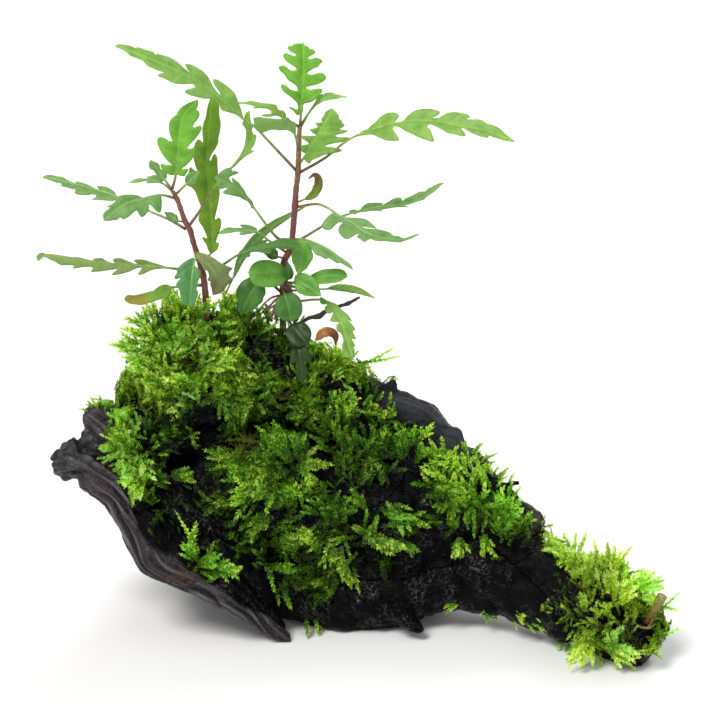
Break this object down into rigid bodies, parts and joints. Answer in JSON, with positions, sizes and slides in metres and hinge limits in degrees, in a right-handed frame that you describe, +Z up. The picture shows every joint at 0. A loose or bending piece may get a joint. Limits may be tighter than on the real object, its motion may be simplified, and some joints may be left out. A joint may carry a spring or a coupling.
{
  "type": "hygrophila on driftwood",
  "caption": "Aquarium plant with long lobed leaves on reddish stems, rooted in feathery moss on a tapering piece of dark driftwood.",
  "frame": {"origin": "on the ground under the middle of the object's bounding box", "axes": "+X along the driftwood from its broken knob to its tapering tail, -Y to the mossy front, +Z up"},
  "size_m": [0.2573, 0.1261, 0.2479],
  "materials": {
    "wood": "satin",
    "moss": "matte",
    "stem": "satin",
    "leaf": "satin",
    "dark_leaf": "satin",
    "old_leaf": "matte"
  },
  "bodies": {
    "root": {"driftwood_body": "wood", "driftwood_front_root": "wood", "driftwood_left_end": "wood", "driftwood_rear_foot": "wood", "driftwood_tail": "wood", "twig_low_right": "stem", "twig_on_tail": "stem", "stem_left": "stem", "stem_main": "stem", "moss_back": "moss", "moss_face": "moss", "moss_front_sprig": "moss", "moss_left_edge": "moss", "moss_shoulder": "moss", "moss_tail": "moss", "moss_top": "moss", "leaf_basal_small": "leaf", "leaf_between_stems": "dark_leaf", "leaf_crossing_left": "leaf", "leaf_crumpled": "old_leaf", "leaf_curled": "old_leaf", "leaf_dark_hanging": "dark_leaf", "leaf_dark_left": "dark_leaf", "leaf_dark_low": "dark_leaf", "leaf_dead": "old_leaf", "leaf_far_left": "leaf", "leaf_front_drooping": "dark_leaf", "leaf_hanging": "dark_leaf", "leaf_inner_left": "leaf", "leaf_inner_right": "leaf", "leaf_left_big": "leaf", "leaf_left_dark": "dark_leaf", "leaf_left_drooping": "leaf", "leaf_left_folded": "leaf", "leaf_left_long": "leaf", "leaf_left_small": "leaf", "leaf_left_thin": "leaf", "leaf_left_tiny": "leaf", "leaf_left_top": "leaf", "leaf_lobed_drooping": "leaf", "leaf_low_crossing": "dark_leaf", "leaf_lower_right": "leaf", "leaf_mid_right": "leaf", "leaf_old_left": "old_leaf", "leaf_pale_small": "leaf", "leaf_rear_long": "leaf", "leaf_right_big": "leaf", "leaf_right_narrow": "leaf", "leaf_right_wide": "leaf", "leaf_round_left": "leaf", "leaf_round_low": "leaf", "leaf_small_upright": "leaf", "leaf_smooth_right": "leaf", "leaf_thin_right": "old_leaf", "leaf_top": "leaf", "leaf_top_left": "leaf", "leaf_top_right": "leaf"}
  },
  "joints": []
}
